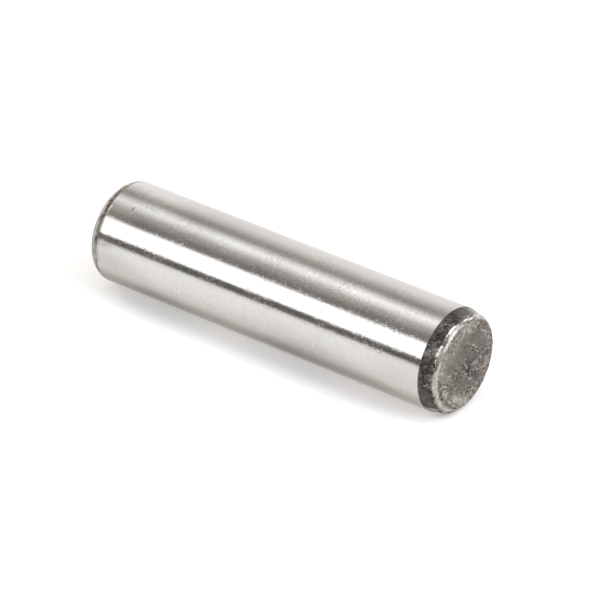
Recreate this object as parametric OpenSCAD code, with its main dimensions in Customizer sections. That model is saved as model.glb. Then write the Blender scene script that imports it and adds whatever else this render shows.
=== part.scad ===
// Ground steel dowel pin with a lead taper at one end and a rounded rim at the other.
// The pin is turned and ground from one bar. It stands on its rounded end, with +Z along its axis.

/* [Shank] */
// Diameter of the ground shank
pin_d = 12.7; // [6:0.1:25]
// Length over both ends
pin_len = 50.8; // [30:0.1:150]

/* [Lead end] */
// Length of the lead taper along the axis
lead_len = 2; // [1:0.1:4]
// Angle between the lead taper's side and the axis
lead_angle = 12.5; // [4:0.5:16]
// Radius that breaks the edge between the taper and the end face
lead_edge_r = 0.5; // [0.2:0.05:0.9]

/* [Rounded end] */
// Radius that rounds the rim of the end that the pin stands on
rim_r = 1.6; // [0.8:0.1:2.8]

/* [Hidden] */
$fn = 180;

shank_r = pin_d / 2;
foot_r = shank_r - rim_r;
lead_z = pin_len - lead_len;
// where the taper's side would meet the end face if the edge were sharp
point_r = shank_r - lead_len * tan(lead_angle);
// how far the edge radius reaches along the face and down the taper from that corner
edge_reach = lead_edge_r * tan((90 - lead_angle) / 2);
face_r = point_r - edge_reach;
edge_top = [face_r, pin_len];
edge_bottom = [point_r + edge_reach * sin(lead_angle), pin_len - edge_reach * cos(lead_angle)];

// One half of the pin's section, from the foot up to the start of the taper
module shank_section() {
    square([foot_r, rim_r]);
    translate([0, rim_r]) square([shank_r, lead_z - rim_r]);
    translate([foot_r, rim_r]) intersection() {
        circle(r = rim_r);
        translate([0, -rim_r]) square(rim_r);
    }
}

// One half of the lead taper's section, with its broken edge
module lead_section() {
    polygon([[0, lead_z], [shank_r, lead_z], edge_bottom, edge_top, [0, pin_len]]);
    translate([face_r, pin_len - lead_edge_r]) circle(r = lead_edge_r);
}

module dowel_pin() {
    color("silver") rotate_extrude() {
        shank_section();
        lead_section();
    }
}

dowel_pin();
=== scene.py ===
"""A ground steel dowel pin with a worn lead end, standing on its rounded end.

The pin is one piece. It is turned as a blank, its lead end is worn and scratched, and it gets four
finishes: ground steel on the shank, furnace scale on the foot, worn scale on the lead end, and a dull
end face.
"""
import math

import bmesh
import bpy
import numpy as np
from mathutils import Matrix, Quaternion, Vector, noise


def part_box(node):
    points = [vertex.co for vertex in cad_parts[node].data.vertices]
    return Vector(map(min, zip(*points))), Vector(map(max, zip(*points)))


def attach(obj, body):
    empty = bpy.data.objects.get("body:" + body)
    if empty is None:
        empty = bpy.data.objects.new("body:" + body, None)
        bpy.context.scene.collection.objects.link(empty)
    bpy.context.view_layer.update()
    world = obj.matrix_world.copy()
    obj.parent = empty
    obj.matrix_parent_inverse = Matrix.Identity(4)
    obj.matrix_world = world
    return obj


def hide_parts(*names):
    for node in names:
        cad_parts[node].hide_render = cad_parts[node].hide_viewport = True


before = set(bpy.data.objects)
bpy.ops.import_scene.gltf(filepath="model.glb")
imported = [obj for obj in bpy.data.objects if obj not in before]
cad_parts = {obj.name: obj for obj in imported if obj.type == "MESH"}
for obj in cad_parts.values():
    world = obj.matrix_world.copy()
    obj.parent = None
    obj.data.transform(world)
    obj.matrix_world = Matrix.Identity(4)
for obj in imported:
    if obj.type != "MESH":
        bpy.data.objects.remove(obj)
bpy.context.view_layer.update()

MM = 0.001

# Sizes of the pin, from the frame, and those of its ends as part.scad has them.
PIN_NODE = "dowel_pin"
pin_low, pin_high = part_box(PIN_NODE)
SHANK_R = (pin_high.x - pin_low.x) / 2
PIN_TOP = pin_high.z
LEAD_LEN = 2 * MM
LEAD_ANGLE = math.radians(12.5)
LEAD_Z = PIN_TOP - LEAD_LEN
FOOT_RIM_R = 1.6 * MM

# The worn edge: a narrow flat between the lead taper and the end face, with both corners rubbed round.
WORN_TOP = PIN_TOP - 0.02 * MM
WORN_EDGE_Z = PIN_TOP - 0.4 * MM
WORN_EDGE_R = SHANK_R - (WORN_EDGE_Z - LEAD_Z) * math.tan(LEAD_ANGLE)
FACE_R = 5.72 * MM
OUTER_RUB_R = 0.1 * MM
INNER_RUB_R = 0.1 * MM
LEAD_RUB_R = 0.04 * MM

# Where the flat is rubbed wider, at the face's expense: middle and reach in degrees of azimuth, and
# depth. The edge also wanders, by a depth, a size of bumps and a seed. The pull fades inwards.
WIDE_WEAR = [(60, 100, 0.52 * MM), (-45, 50, 0.4 * MM), (0, 40, 0.2 * MM)]
EDGE_WANDER = (0.05 * MM, 0.9 * MM, 7)
PULL_FADE = 4

# The rubbed line just outside the edge of the end face. Its middle and span are degrees of azimuth.
EDGE_RUB_PLACE = 0.07 * MM
EDGE_RUB_REACH = 0.12 * MM
EDGE_RUB_STRENGTH = 0.5
EDGE_RUB_MIDDLE = 72
EDGE_RUB_SPAN = 80

# Unevenness of the worn end and of the taper: depth, size of the bumps, and seed.
WORN_BUMPS = [(0.02 * MM, 1.3 * MM, 3), (0.02 * MM, 0.45 * MM, 5), (0.008 * MM, 0.25 * MM, 6)]
TAPER_BUMPS = [(0.008 * MM, 0.6 * MM, 4)]

# The bumps that roughen the edges of every mark: their size, how much they do, and their seed.
RAGGED_SIZE = 0.4 * MM
RAGGED_SHARE = 0.5
RAGGED_SEED = 2

# How finely the blank is divided, and how many steps each rounded corner has.
TURNS = 480
SECTORS = 8
FACE_STEP = 0.09 * MM
LEAD_STEP = 0.1 * MM
SHANK_STEP = 4 * MM
FOOT_STEP = 0.6 * MM
FOOT_RIM_STEPS = 14
LEAD_RUB_STEPS = 2
WORN_RUB_STEPS = 4

# How near two places count as the same, and how near two points are joined.
LOOSE = 0.01 * MM
JOINED = LOOSE / 10

# How close together the shank's rings are across a mark, and how many there are past its ends.
NICK_STEP = 0.1 * MM
NICK_MARGIN = 3

# The longest step along a path round the foot, in degrees.
LONGEST_STEP = 6

# Which finish each zone gets.
GROUND, SCALE, LEAD, FACE = range(4)

# Marks, as rows of width, lift, strength and one or more paths. Width and lift are millimetres: a cut has
# a lift below 0, and a mark with no lift only colours. Strength is how much it colours: 0 is nothing, and
# above 1 there is a solid core. A path has two numbers for every point. On the end face they are X and Y
# in millimetres, on the lead end an azimuth in degrees and a depth below the top in millimetres, and on
# the shank and the foot an azimuth and a height.
#
# DIRT is packed dirt, and on the shank also painted shade. BARE is metal rubbed bright, and on the lead end
# and the end face also a painted highlight, painted reflections and painted glints. SMOOTH and FILM are calm
# and filmed patches, DULL and PALE darken and lighten what is there, in places as painted shade and painted
# reflections, and RUST is rust.
FACE_DIRT = [
    (0.45, -0.07, 1, [-1.9, 0.6, -1.6, 0.4, -1.2, 0.35]),
    (0.4, -0.07, 1, [-1.45, 0.3, -1.4, -0.15, -1.1, -0.4]),
    (0.3, -0.05, 0.9, [-1.15, -0.4, -0.7, -0.45, -0.4, -0.6]),
    (0.4, -0.05, 0.8, [-1.15, -0.55, -1.4, -1, -1.7, -1.35], [1.8, 4.75, 1.9, 4.4, 1.88, 3.95]),
    (0.35, -0.05, 0.7, [-2, 0.1, -2.8, -0.1, -3.8, -0.4]),
    (0.35, -0.04, 0.7, [-2.7, 0.55, -2.6, 0.3, -2.2, 0.1]),
    (0.3, -0.05, 0.8, [-4.2, -0.8, -4.6, -1.1, -4.9, -1.4, -5.1, -1.7],
     [1.9, 3.95, 1.65, 3.7, 1.2, 3.5]),
    (0.25, -0.04, 0.7, [-4, -1.65, -3.85, -1.7]),
    (0.3, -0.04, 0.7, [-4.1, -2.6, -3.7, -3, -3.4, -3.15], [0.5, 4.8, 1.3, 4.75]),
    (0.3, -0.03, 0.6, [-3.4, 0, -3.1, 0.1]),
    (0.18, -0.03, 0.6, [-2, -2.4, -0.5, -2.35, 1, -2.05, 2.6, -1.55]),
    (0.12, -0.02, 0.4, [0.2, -1.95, 1.4, -1.6, 2.2, -1.4]),
    (0.2, -0.03, 0.6, [-2.4, -1.85, -1.9, -1.6], [1.8, -4.75, 1.9, -4.5]),
    (0.3, -0.03, 0.5, [2.8, 3.9, 3, 3.9], [-1.5, -1.1, -1.4, -1.2], [-1.5, 4.85, -0.9, 4.95],
     [0, 0.1, 0.2, 0.05]),
    (0.35, -0.03, 0.4, [-3.9, 1.45, -4.1, 1.3], [3.9, -3.2, 4.2, -2.2, 4.6, -1.7]),
    (0.3, -0.03, 0.4, [-2.6, -2.7, -2.4, -2.5], [-2.3, -1.9, -2.2, -1.95]),
    (0.3, -0.06, 0.9, [-0.85, 4.35, -0.7, 4.4]),
    (0.25, -0.04, 0.6, [0.15, 4.3, 0.3, 4.2]),
    (0.25, -0.03, 0.6, [-3.3, 3.25, -3, 3.3], [-4.6, 2.5, -4.4, 2.5], [-4.5, 1.9, -4.2, 1.85],
     [-3.7, 1.65, -3.2, 1.8], [-3, 2.05, -2.8, 2.1], [-2.75, 1.2, -1.9, 1.2], [-1.3, 2.7, -1, 2.8],
     [0.6, -0.6, 0.85, -0.65], [0.85, -1.2, 1, -1.2], [2.7, -2.2, 2.85, -2.2], [2.6, -4.65, 2.8, -4.65],
     [-1, 5.05, -0.7, 5.1]),
    (0.25, -0.03, 0.7, [0.5, -0.95, 0.7, -0.95]),
    (0.25, -0.04, 0.8, [-2.6, 4.3, -2.2, 4.45]),
    (0.22, -0.04, 0.8, [-1.9, 4.35, -1.5, 4.45]),
    (0.22, -0.04, 0.7, [-2.4, 4.75, -1.9, 4.85]),
    (0.22, -0.03, 0.7, [-0.2, 4.75, 0.3, 4.7]),
    (0.25, -0.03, 0.5, [2.3, 2.1, 2.5, 2.1], [2.9, 1.6, 3.1, 1.6], [3.8, 3.4, 4, 3.4]),
]
FACE_BARE_AND_GLINTS = [
    # Rubbed steel, and partly painted glints: bright blobs and lines where the face's relief catches light.
    (0.3, 0.02, 0.4, [-3.9, -0.85, -3, -0.4, -2.4, -0.15, -1.9, -0.05], [2.1, 3.1, 2.3, 3.15],
     [-1, 0.2, -0.8, 0.2], [-4.1, -1, -3.8, -1], [-3.2, 1.6, -2.9, 1.6], [2.3, 3.8, 2.5, 3.9]),
    (0.35, 0.02, 0.4, [2.2, 4.45, 2.5, 4.4], [-1.9, -4.3, -1.5, -4.3]),
    (0.3, 0.02, 0.5, [1.1, -4.75, 1.5, -4.75], [-2.3, 4.55, -2, 4.5]),
    (0.3, 0.02, 0.6, [-5.1, -0.85, -4.7, -0.8], [1.7, 2, 2.2, 2.25], [3.8, 1.6, 4, 1.65]),
    (0.45, 0.03, 1, [-4.4, -1.3, -4.3, -1.25]),
    (0.3, 0.02, 0.8, [-4.4, -1.7, -4.2, -1.6], [-0.95, -2.5, -0.65, -2.5], [-0.2, -2.55, 0.3, -2.45],
     [-0.1, -0.65, 0.4, -0.65], [-4.8, 0.7, -4.2, 0.8]),
    (0.8, 0.02, 0.3, [-4.4, -2.1, -4, -2.2]),
    (0.4, 0.02, 0.35, [-4.7, -2.75, -4.5, -2.75]),
    (0.25, 0.03, 0.7, [-3.9, -3.45, -3.3, -3.25, -3, -3.1]),
    (0.35, 0.03, 0.45, [-1.65, -0.6, -1.95, -0.95, -2.3, -1.15]),
    (0.5, 0.02, 0.4, [-2.2, -1.1, -2.2, -1.45]),
    (0.25, 0.02, 0.6, [-2.9, -2.05, -2.5, -1.85], [-1.7, -2.3, -1.3, -2.2], [-1.6, -4.65, -0.4, -4.6],
     [-5, 1.35, -4.4, 1.45, -4, 1.65], [-0.5, 0, 0.2, -0.1], [4, 2.55, 4.3, 2.7]),
    (0.25, 0.02, 0.9, [2.1, -4.4, 2.3, -4.4]),
    (0.25, 0.02, 0.8, [2.1, -4.6, 2.3, -4.6], [-1.4, 0.72, -1.05, 0.85], [-2, 4.55, -1.7, 4.65],
     [-0.65, 2.75, -0.3, 2.95]),
    (1.6, 0, 0.35, [2.4, -3.6, 2.9, -3.3]),
    (1.1, 0, 0.3, [3, -2.8, 3.2, -2.2]),
    (0.9, 0, 0.3, [2, -4, 2.6, -4.3]),
    (0.35, 0.02, 0.6, [1, -4.9, 1.6, -4.9]),
    (0.35, 0.02, 0.8, [-2.9, 0.75, -2.3, 1.05]),
    (0.35, 0.02, 0.7, [-2.3, 0.3, -2.2, 0.3]),
    (1.3, 0, 0.4, [-4, 3.2, -2.4, 3.7, -1.4, 3.9]),
    (0.5, 0.02, 0.6, [-1.6, 4.2, -1.2, 4.05]),
    (0.3, 0.03, 1, [-0.75, 4.65, -0.5, 4.6, -0.35, 4.45]),
    (0.4, 0.02, 0.6, [-0.85, 0.15, -0.65, 0.15]),
    (1.2, 0.02, 0.35, [0.7, 4.2, 1.4, 4.2]),
    (0.45, 0.02, 0.6, [1.4, 3.35, 2.1, 3.45, 2.5, 3.9]),
    (0.7, 0.02, 0.6, [3.5, 2.4, 3.9, 2.4]),
    (0.5, 0, 0.3, [3.8, 3.2, 4, 3.1]),
]
FACE_SMOOTH = [
    (2, 0, 0.9, [-1.8, -3.5, 0, -3.3, 1.1, -3.1]),
    (1.8, 0, 0.9, [-2.2, 2.2, -0.8, 2.4]),
    (1.3, 0, 0.8, [-2.2, -1.6, -0.6, -1.5, 1, -1.4]),
    (2.6, 0, 0.8, [1.6, -0.6, 2.2, 0.4, 3.6, 0.7]),
    (2.4, 0, 0.7, [2.6, -1.2, 2.4, -2.6, 2.2, -3.2], [3.2, 2.2, 4.2, 1.2]),
    (1, 0, 0.7, [-4.2, 0.1, -3.2, 0.2]),
    (1, 0, 0.6, [-3.6, 2.7, -2.6, 2.8]),
]
FACE_DULL = [
    (0.9, 0, 0.4, [3.5, 3.6, 3, 3.9, 2.2, 4.5, 1.4, 4.8]),
    (0.7, 0, 0.4, [-2.7, -3, -2.4, -2.5]),
    (0.6, 0, 0.3, [-1.7, -1.4, -1.4, -1.6]),
    (7, 0, 0.35, [-2.6, 0.4, -0.6, 0, 0.4, -1.6]),
    (4, 0, 0.35, [-3.4, 1.2, -1, 1.6, 0, 1.8]),
    (4, 0, 0.32, [-2.4, -2.2, 0.6, -2.4, 0.8, -4.2]),
    (2.6, 0, 0.65, [-3.6, 0.3, -2.6, 0.2, -1, 0.1, -0.7, -0.6]),
    (1.6, 0, 0.45, [-1, -1, -1.8, -1.9, -2.4, -2.9], [-4.1, -3, -3.4, -2.9, -3, -2.2]),
    (1.4, 0, 0.4, [-2.4, -2.2, -1.6, -1.8]),
    (1.6, 0, 0.4, [-0.2, 2.6, 0.5, 3.4]),
    (1.2, 0, 0.35, [1.2, 1.4, 2.6, 1.5], [1.9, 4.4, 1.8, 3.9]),
    (1.2, 0, 0.3, [3.4, -2.4, 4.2, -2]),
    (0.5, 0, 0.4, [-1.4, -0.9, -1.6, -1.2, -2.4, -1.9, -2.6, -2.6, -2.7, -3.5],
     [-5, -0.4, -4.3, -0.5, -2.7, -0.8]),
    (0.5, 0, 0.45, [1.9, 4, 2.9, 4, 2.8, 3.6]),
    (0.4, 0, 0.4, [3.9, -3.2, 4.1, -2.6]),
    (0.35, 0, 0.5, [4.5, 2.6, 4.3, 3]),
]
FACE_PALE = [
    (2.4, 0, 0.4, [3.2, 0.2, 3.4, -0.8]),
    (1.4, 0, 1, [5, -0.5, 4.6, -1.1, 4.1, -1.6]),
    (0.8, 0, 0.4, [2.9, 0.2, 2.9, -0.5]),
    (0.7, 0, 0.6, [1.8, -4, 2.4, -4.1]),
    (0.6, 0, 0.5, [3.6, 2.6, 3.7, 2.2, 4.1, 1.8]),
    (0.5, 0, 0.6, [-4.3, 2.7, -4.6, 2]),
    (0.5, 0, 0.5, [4.3, -1.1, 4.7, -1]),
    (1.2, 0, 0.4, [3, 0.3, 3.2, 0], [3.6, 2.6, 4, 1.6]),
    (1, 0, 0.7, [-4.4, 2.8, -4.3, 1.9]),
    (2.2, 0, 1, [4.2, 2.4, 4.4, 1.8, 4.8, 0.4]),
    (2, 0, 1, [1.7, -4.2, 2.8, -3.8, 3.4, -3.2]),
    (1.8, 0, 0.9, [-4, 3, -2.4, 3.8, -1.2, 4.1]),
    (1.2, 0, 0.6, [0.7, 4.2, 1.5, 4.1]),
    (1, 0, 0.4, [-4.5, -1.3, -4.4, -1.9]),
]
FACE_FILM = [
    (0.9, 0, 0.6, [0.8, 4.2, 1.6, 4]),
    (2.6, 0, 0.3, [3, 0.2, 2.8, -1.6, 2.4, -3]),
    (2.6, 0, 0.75, [2.8, 2.4, 3.8, 2.3, 4.2, 0.8]),
    (1.4, 0, 1, [3.2, 2.6, 4, 2.4, 4.4, 1.4]),
    (1.6, 0, 0.4, [-3.4, 3.6, -1.8, 3.8]),
    (0.5, 0, 0.7, [-3.1, -3.6, -2.7, -3.8, -2.2, -4.4]),
    (1.2, 0, 0.5, [4, -2.6, 4.4, -1.8]),
]
LEAD_DIRT = [
    (0.24, 0, 0.26, [51.5, 0.04, 50.8, 0.24]),
    (0.28, 0, 0.34, [62.5, 0.12, 64, 0.18]),
    (0.24, 0, 0.22, [60.5, 0.02, 58.8, 0.22], [69.5, 0.05, 68.5, 0.22]),
    (0.24, 0, 0.18, [45, 0.04, 44.5, 0.2]),
    (0.24, 0, 0.45, [-30, 0.26, -25, 0.25]),
    (0.2, 0, 0.45, [-24, 0.28, -17, 0.24]),
    (0.5, -0.01, 0.85, [-14, 0.28, -8, 0.28, -4, 0.28]),
    (0.4, -0.01, 0.5, [-12, 0.48, -6, 0.5, -3, 0.5], [-48, 0.34, -41, 0.36, -37, 0.38]),
    (0.3, -0.01, 0.9, [-10, 0.2, -3, 0.2, 2, 0.22]),
    (0.3, -0.01, 0.4, [-56, 0.42, -47, 0.42]),
    (0.18, -0.02, 0.5, [-62, 0.03, -57, 0.02]),
    (0.15, -0.02, 0.5, [-52, 0.04, -49, 0.06]),
    (0.32, -0.01, 0.8, [17, 0.22, 23, 0.22, 27, 0.26]),
    (0.12, -0.02, 0.6, [32, 0.25, 33.5, 0.32]),
    (0.12, -0.02, 0.5, [40, 0.2, 41, 0.32]),
    (0.2, -0.02, 0.7, [56, 0.28, 58, 0.3], [50, 0.9, 51, 1.1]),
    (0.2, -0.03, 0.9, [63, 0.24, 65, 0.22], [-16, 1, -15, 1.3]),
    (0.15, -0.02, 0.6, [60, 0.14, 61, 0.16], [70, 0.2, 72, 0.18]),
    (0.4, -0.01, 0.9, [60, 0.42, 70, 0.38, 80, 0.36, 92, 0.36]),
    (0.12, -0.03, 0.8, [-14, 0.6, -12, 0.75]),
    (0.15, -0.02, 0.8, [2, 0.8, 3, 1]),
    (0.6, -0.01, 0.9, [12, 0.5, 16, 0.8, 21, 0.9, 23, 1.6]),
    (0.2, -0.02, 0.8, [26, 0.5, 28, 0.8], [35, 0.7, 36, 0.9]),
    (0.25, -0.02, 0.8, [36, 1.7, 38, 1.5]),
    (0.15, -0.02, 0.7, [41, 0.6, 42, 0.8]),
    (0.5, -0.01, 0.5, [-42, 1.6, -40, 1.2]),
]
LEAD_BARE_AND_HIGHLIGHT = [
    (0.32, 0.01, 1, [-29, 0.11, -22, 0.1, -14, 0.08]),
    (0.24, 0.01, 0.6, [-35, 0.15, -29, 0.13]),
    (0.24, 0, 1, [-14, 0.1, -5, 0.11, 1, 0.12]),
    (0.42, 0.01, 0.9, [-29.5, 0.37, -25, 0.38, -20, 0.38]),
    (0.34, 0, 0.9, [-29, 0.3, -19, 0.32]),
    (0.4, 0, 0.4, [-20, 0.38, -15, 0.4]),
    (0.3, 0, 0.2, [-14, 0.42, -4, 0.42], [37, 0.38, 43, 0.38]),
    (0.3, 0.03, 0, [-46.5, 0.19, -50, 0.15, -54, 0.11, -58, 0.09, -62, 0.1]),
    # Painted highlight: the bright streak along the worn edge at azimuth -46 to -62, brighter than bare
    # steel.
    (0.24, 0, 1.6, [-46.5, 0.28, -50, 0.24, -54, 0.2, -58, 0.18]),
    (0.24, 0, 1.3, [-58, 0.18, -62, 0.19]),
    (0.4, 0, 0.2, [-66, 0.46, -56, 0.46, -48, 0.5]),
    (0.18, 0.02, 0.5, [-1.5, 0.2, -0.5, 0.42]),
    (0.4, 0.01, 0.55, [0, 0.42, 12, 0.44]),
    (0.14, 0.01, 0.5, [7.6, 0.2, 8.6, 0.42]),
    (0.2, 0.02, 1, [-2, 0.43, 0, 0.38], [1.5, 0.36, 4, 0.37]),
    (0.22, 0.02, 1, [6, 0.38, 8, 0.36]),
    (0.26, 0.02, 1, [8.5, 0.4, 10.5, 0.39]),
    (0.26, 0.02, 0.9, [14, 0.37, 17, 0.36]),
    (0.16, 0, 0.9, [19, 0.05, 24, 0.04]),
    (0.16, 0, 0.25, [26, 0.06, 38, 0.08]),
    (0.16, 0, 0.5, [38, 0.08, 54, 0.09, 62, 0.08]),
    (0.5, 0, 0.12, [39, 0.2, 54, 0.22]),
    # Partly painted reflection: the worn flat made lighter at azimuth 60 to 110, where it mirrors the table.
    (0.2, 0.01, 0.8, [66, 0.12, 74, 0.1]),
    (0.2, 0.01, 0.7, [82, 0.12, 96, 0.08, 108, 0.06]),
    (0.34, 0, 0.6, [60, 0.12, 78, 0.11, 96, 0.1, 110, 0.08]),
    (0.15, 0.01, 0.42, [-34, 1.1, -32.5, 1.25], [2, 0.6, 2.5, 0.8]),
    (0.12, 0.01, 0.42, [-35.5, 1.3, -34.5, 1.45]),
    (0.12, 0.01, 0.36, [-32, 0.65, -31.5, 0.85], [-22.5, 0.6, -22, 0.75], [-23, 1.5, -22, 1.7],
     [-4, 1.05, -2.5, 1.3], [22.5, 0.95, 23.5, 1.1]),
    (0.18, 0.01, 0.3, [-28, 0.85, -27.5, 1.05]),
    (0.15, 0.01, 0.3, [-26.5, 1.25, -28, 1.5], [71, 0.7, 72.5, 1], [76.5, 0.7, 78.5, 1.1]),
    (0.15, 0.01, 0.36, [-25, 0.7, -24, 0.9], [-5.5, 0.7, -5, 0.9], [-8, 0.55, -7, 0.65]),
    (0.12, 0.01, 0.48, [3.5, 0.8, 4.5, 0.95]),
    (0.15, 0.01, 0.4, [7.5, 0.6, 8.5, 0.7]),
    (0.14, 0.01, 0.4, [9.5, 0.85, 9, 1]),
    (0.14, 0.01, 0.36, [8, 1.15, 7, 1.4, 6.5, 1.6]),
    (0.12, 0.01, 0.3, [11, 1.3, 12, 1.5], [31.5, 0.55, 32, 0.7], [38, 0.5, 38.5, 0.65],
     [46, 0.5, 46.5, 0.7]),
    (0.1, 0.01, 0.36, [13, 0.95, 13.5, 1.1], [21.5, 0.45, 22, 0.7], [24, 1.2, 25, 1.4]),
    (0.4, 0.01, 0.18, [44, 0.8, 47, 1.2]),
    (0.12, 0.01, 0.24, [62, 1.2, 64, 1.5]),
    (1.6, 0, 0.05, [9, 0.9, 11, 1.6]),
    (0.22, 0, 0.7, [58.5, 0.04, 56, 0.26]),
    (0.22, 0, 0.6, [54, 0.02, 53, 0.22], [49, 0.04, 48, 0.26]),
    (0.3, 0, 0.8, [75, 0.06, 78, 0.06]),
    (0.1, 0.01, 0.3, [75, 0.5, 76, 0.8]),
    # Painted reflections: broad lighter stretches of the taper at azimuth -110 to -75 and 88 to 104, where
    # it mirrors bright studio light and the table.
    (2.6, 0, 0.35, [-110, 1, -76, 1]),
    (1.2, 0, 0.7, [-90, 0.8, -80, 0.55, -75, 0.4]),
    (1.6, 0, 0.65, [88, 0.8, 88, 1.6, 104, 1.2]),
]
LEAD_SMOOTH = [
    (1.8, 0, 0.9, [54, 1.2, 74, 1.2]),
    (1.6, 0, 0.8, [-76, 1, -56, 1.2, -38, 1.3]),
]
LEAD_DULL_AND_SHADE = [
    # Painted shade: the worn edge darkened on both sides of the painted highlight, at azimuth -66 to -44.
    (0.7, 0, 0.8, [-66, 0.12, -58, 0.12, -44, 0.12]),
    (0.28, 0, 0.95, [-61, 0.28, -55, 0.28, -50, 0.33, -45, 0.38]),
    (0.5, 0, 0.8, [4, 0.1, 10, 0.1, 18, 0.12]),
    (0.5, 0, 0.5, [15, 0.26, 22, 0.24, 27, 0.26]),
    (0.3, 0, 0.5, [3, 0.03, 13, 0.03], [26, 0.03, 36, 0.03]),
    (0.34, 0, 0.5, [56, 0.32, 70, 0.3, 84, 0.28, 98, 0.24]),
    (0.5, 0, 0.9, [-42, 0.3, -38, 0.3]),
    (0.46, 0, 0.8, [8, 0.18, 14, 0.13, 22, 0.13, 26, 0.18]),
    (0.3, 0, 0.6, [20, 0.37, 26, 0.36]),
    (0.36, 0, 0.8, [26, 0.34, 30, 0.3, 35, 0.3]),
    (0.3, 0, 0.45, [35, 0.2, 45, 0.2]),
    (0.4, 0, 0.35, [30, 0.38, 38, 0.36, 48, 0.38]),
    (2.4, 0, 0.4, [14, 1.3, 24, 1.2, 44, 1.3]),
    (1.6, 0, 0.4, [17, 0.9, 24, 1, 24, 1.6]),
]
LEAD_PAINTED_REFLECTION = [
    # Painted reflections: the taper and the worn flat lightened where they mirror the table, and a lighter
    # stretch of taper at azimuth -66 to -50.
    (2, 0, 1, [-66, 0.9, -50, 1]),
    (0.7, 0, 0.8, [60, 0.12, 80, 0.12, 108, 0.1]),
    (0.4, 0, 0.4, [44, 0.1, 54, 0.1]),
    (1.6, 0, 0.6, [72, 1, 84, 1]),
]
LEAD_RUST = [
    (0.4, 0, 0.5, [4, 0.24, 14, 0.24, 26, 0.28]),
    (0.5, 0, 0.9, [-14, 0.7, -10, 0.6, -5, 0.5]),
    (0.5, 0, 0.7, [-16, 1, -14, 1.1]),
    (0.4, 0, 0.7, [-2, 0.7, 0, 0.9]),
    (0.8, 0, 0.9, [14, 0.8, 20, 1, 22, 1.6]),
    (0.5, 0, 0.5, [-142, 0.15, -130, 0.1, -118, 0.15]),
]
SHANK_DIRT_AND_SHADE = [
    (0.45, -0.02, 0.5, [-18, 4.62, -14.5, 4.7]),
    (0.36, 0, 0.75, [1, 1.64, 6, 1.68, 13, 1.72, 20, 1.7]),
    (0.5, 0, 0.4, [16, 1.9, 21, 2]),
    # Painted shade: a soft dark line just above the foot, at azimuth 28 to 54.
    (0.45, 0, 0.32, [28, 1.75, 36, 1.75, 44, 1.75, 54, 1.8]),
    (0.2, -0.01, 0.2, [-20, 11.3, -17, 11.5], [-13, 13.4, -12, 13.6]),
]
SHANK_BARE = [
    (0.25, 0, 0.35, [-23, 4.25, -22, 4.35]),
    (0.3, -0.035, 1, [-12.5, 1.75, -7, 1.67]),
    (0.26, -0.01, 0.3, [-7, 1.7, -1, 1.7]),
]
FOOT_BARE = [
    (1.1, 0, 1, [-100, 0.7, -70, 0.7, -38, 0.7]),
    (0.9, 0, 0.9, [-100, 1.2, -70, 1.2, -44, 1.2]),
    (0.8, 0, 0.4, [20, 1.2, 24, 1.2]),
    (0.8, 0, 0.5, [36, 1.2, 46, 1.15]),
    (1.1, 0, 0.9, [50, 0.7, 75, 0.7, 100, 0.7]),
    (0.9, 0, 0.8, [48, 1.2, 75, 1.2, 100, 1.2]),
    (0.6, 0, 0.6, [63, 1.5, 75, 1.5, 90, 1.5]),
    (0.6, 0, 0.7, [-100, 1.5, -75, 1.5, -50, 1.5]),
    (0.7, 0, 0.4, [-46, 1.3, -34, 1.35]),
    (0.6, 0, 0.2, [-34, 1.35, -28, 1.4]),
]
FOOT_DIRT = [
    (0.6, 0, 0.9, [3, 1.05, 9, 1.12, 16, 1.2, 20, 1.3]),
    (0.4, 0, 0.7, [7, 1.5, 16, 1.52, 20, 1.55]),
    (0.4, 0, 0.3, [48, 1.45, 55, 1.4]),
]

# Places on the shank that are scuffed: azimuth in degrees, then height and reach in millimetres.
SCUFFS = [
    (-42, 5, 2), (-28, 7, 2.5), (-16, 12.5, 3.2), (-40, 13.5, 2.5), (-20, 18.5, 2.5), (-40, 22, 2.5),
    (-28, 26, 2.5), (-12, 25, 3), (-20, 31, 2.5), (-40, 31, 2.5), (-27, 36.5, 3.2), (-14, 39, 2.6),
    (-42, 42, 2.5), (-8, 44, 2.6), (-25, 46, 2.6), (54, 14, 1.8), (63, 25, 1.6), (56, 34, 1.4),
    (118, 38, 3), (150, 9, 2.6), (172, 26, 3.2), (-150, 42, 2.6), (-112, 12, 3),
]

# Smudges on the shank, long up the pin, which are partly painted shade and painted highlight in its
# reflections:
# azimuth in degrees, height and reach across in millimetres, and how much lighter they are, which is below 0
# where they are darker.
SMUDGES_AND_REFLECTIONS = [
    (77, 34, 4.2, -0.16), (94, 9, 4, -0.36), (92, 29, 4, -0.22), (86, 48, 3, 0.12), (70, 3, 3, 0.2),
    (70, 49, 3, 0.14), (54, 2, 3.5, -0.18), (54, 29, 3, -0.07), (40, 47, 3, -0.08),
    (22.5, 2, 1.1, 0.45), (28, 2.2, 1, -0.3), (-4, 3, 1.6, 0.22), (-8, 41, 1.5, -0.14),
    (160, 31, 4, -0.08), (-168, 14, 4, -0.07), (-128, 24, 4, -0.06), (-32, 43, 2.5, -0.1),
    (-40, 7, 2, 0.1), (-19, 4, 3, -0.16), (-18, 13, 2.5, -0.08), (-16, 26, 2, -0.08), (-24, 7, 2, 0.06),
    (-50, 3, 3.5, 0.1), (-66, 17, 4, -0.07), (-29, 14, 2, -0.06), (-18, 42, 3.5, 0.1),
]
SMUDGE_STRETCH = 2.5

# Painted glints: lines up the shank that are finely speckled where it mirrors dark cards, standing in for
# pits that catch light. Azimuth, reach in degrees, and strength.
GLINT_TRACKS = [(22.5, 6, 1.1), (-8, 9, 0.5)]


# ---- turning

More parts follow.
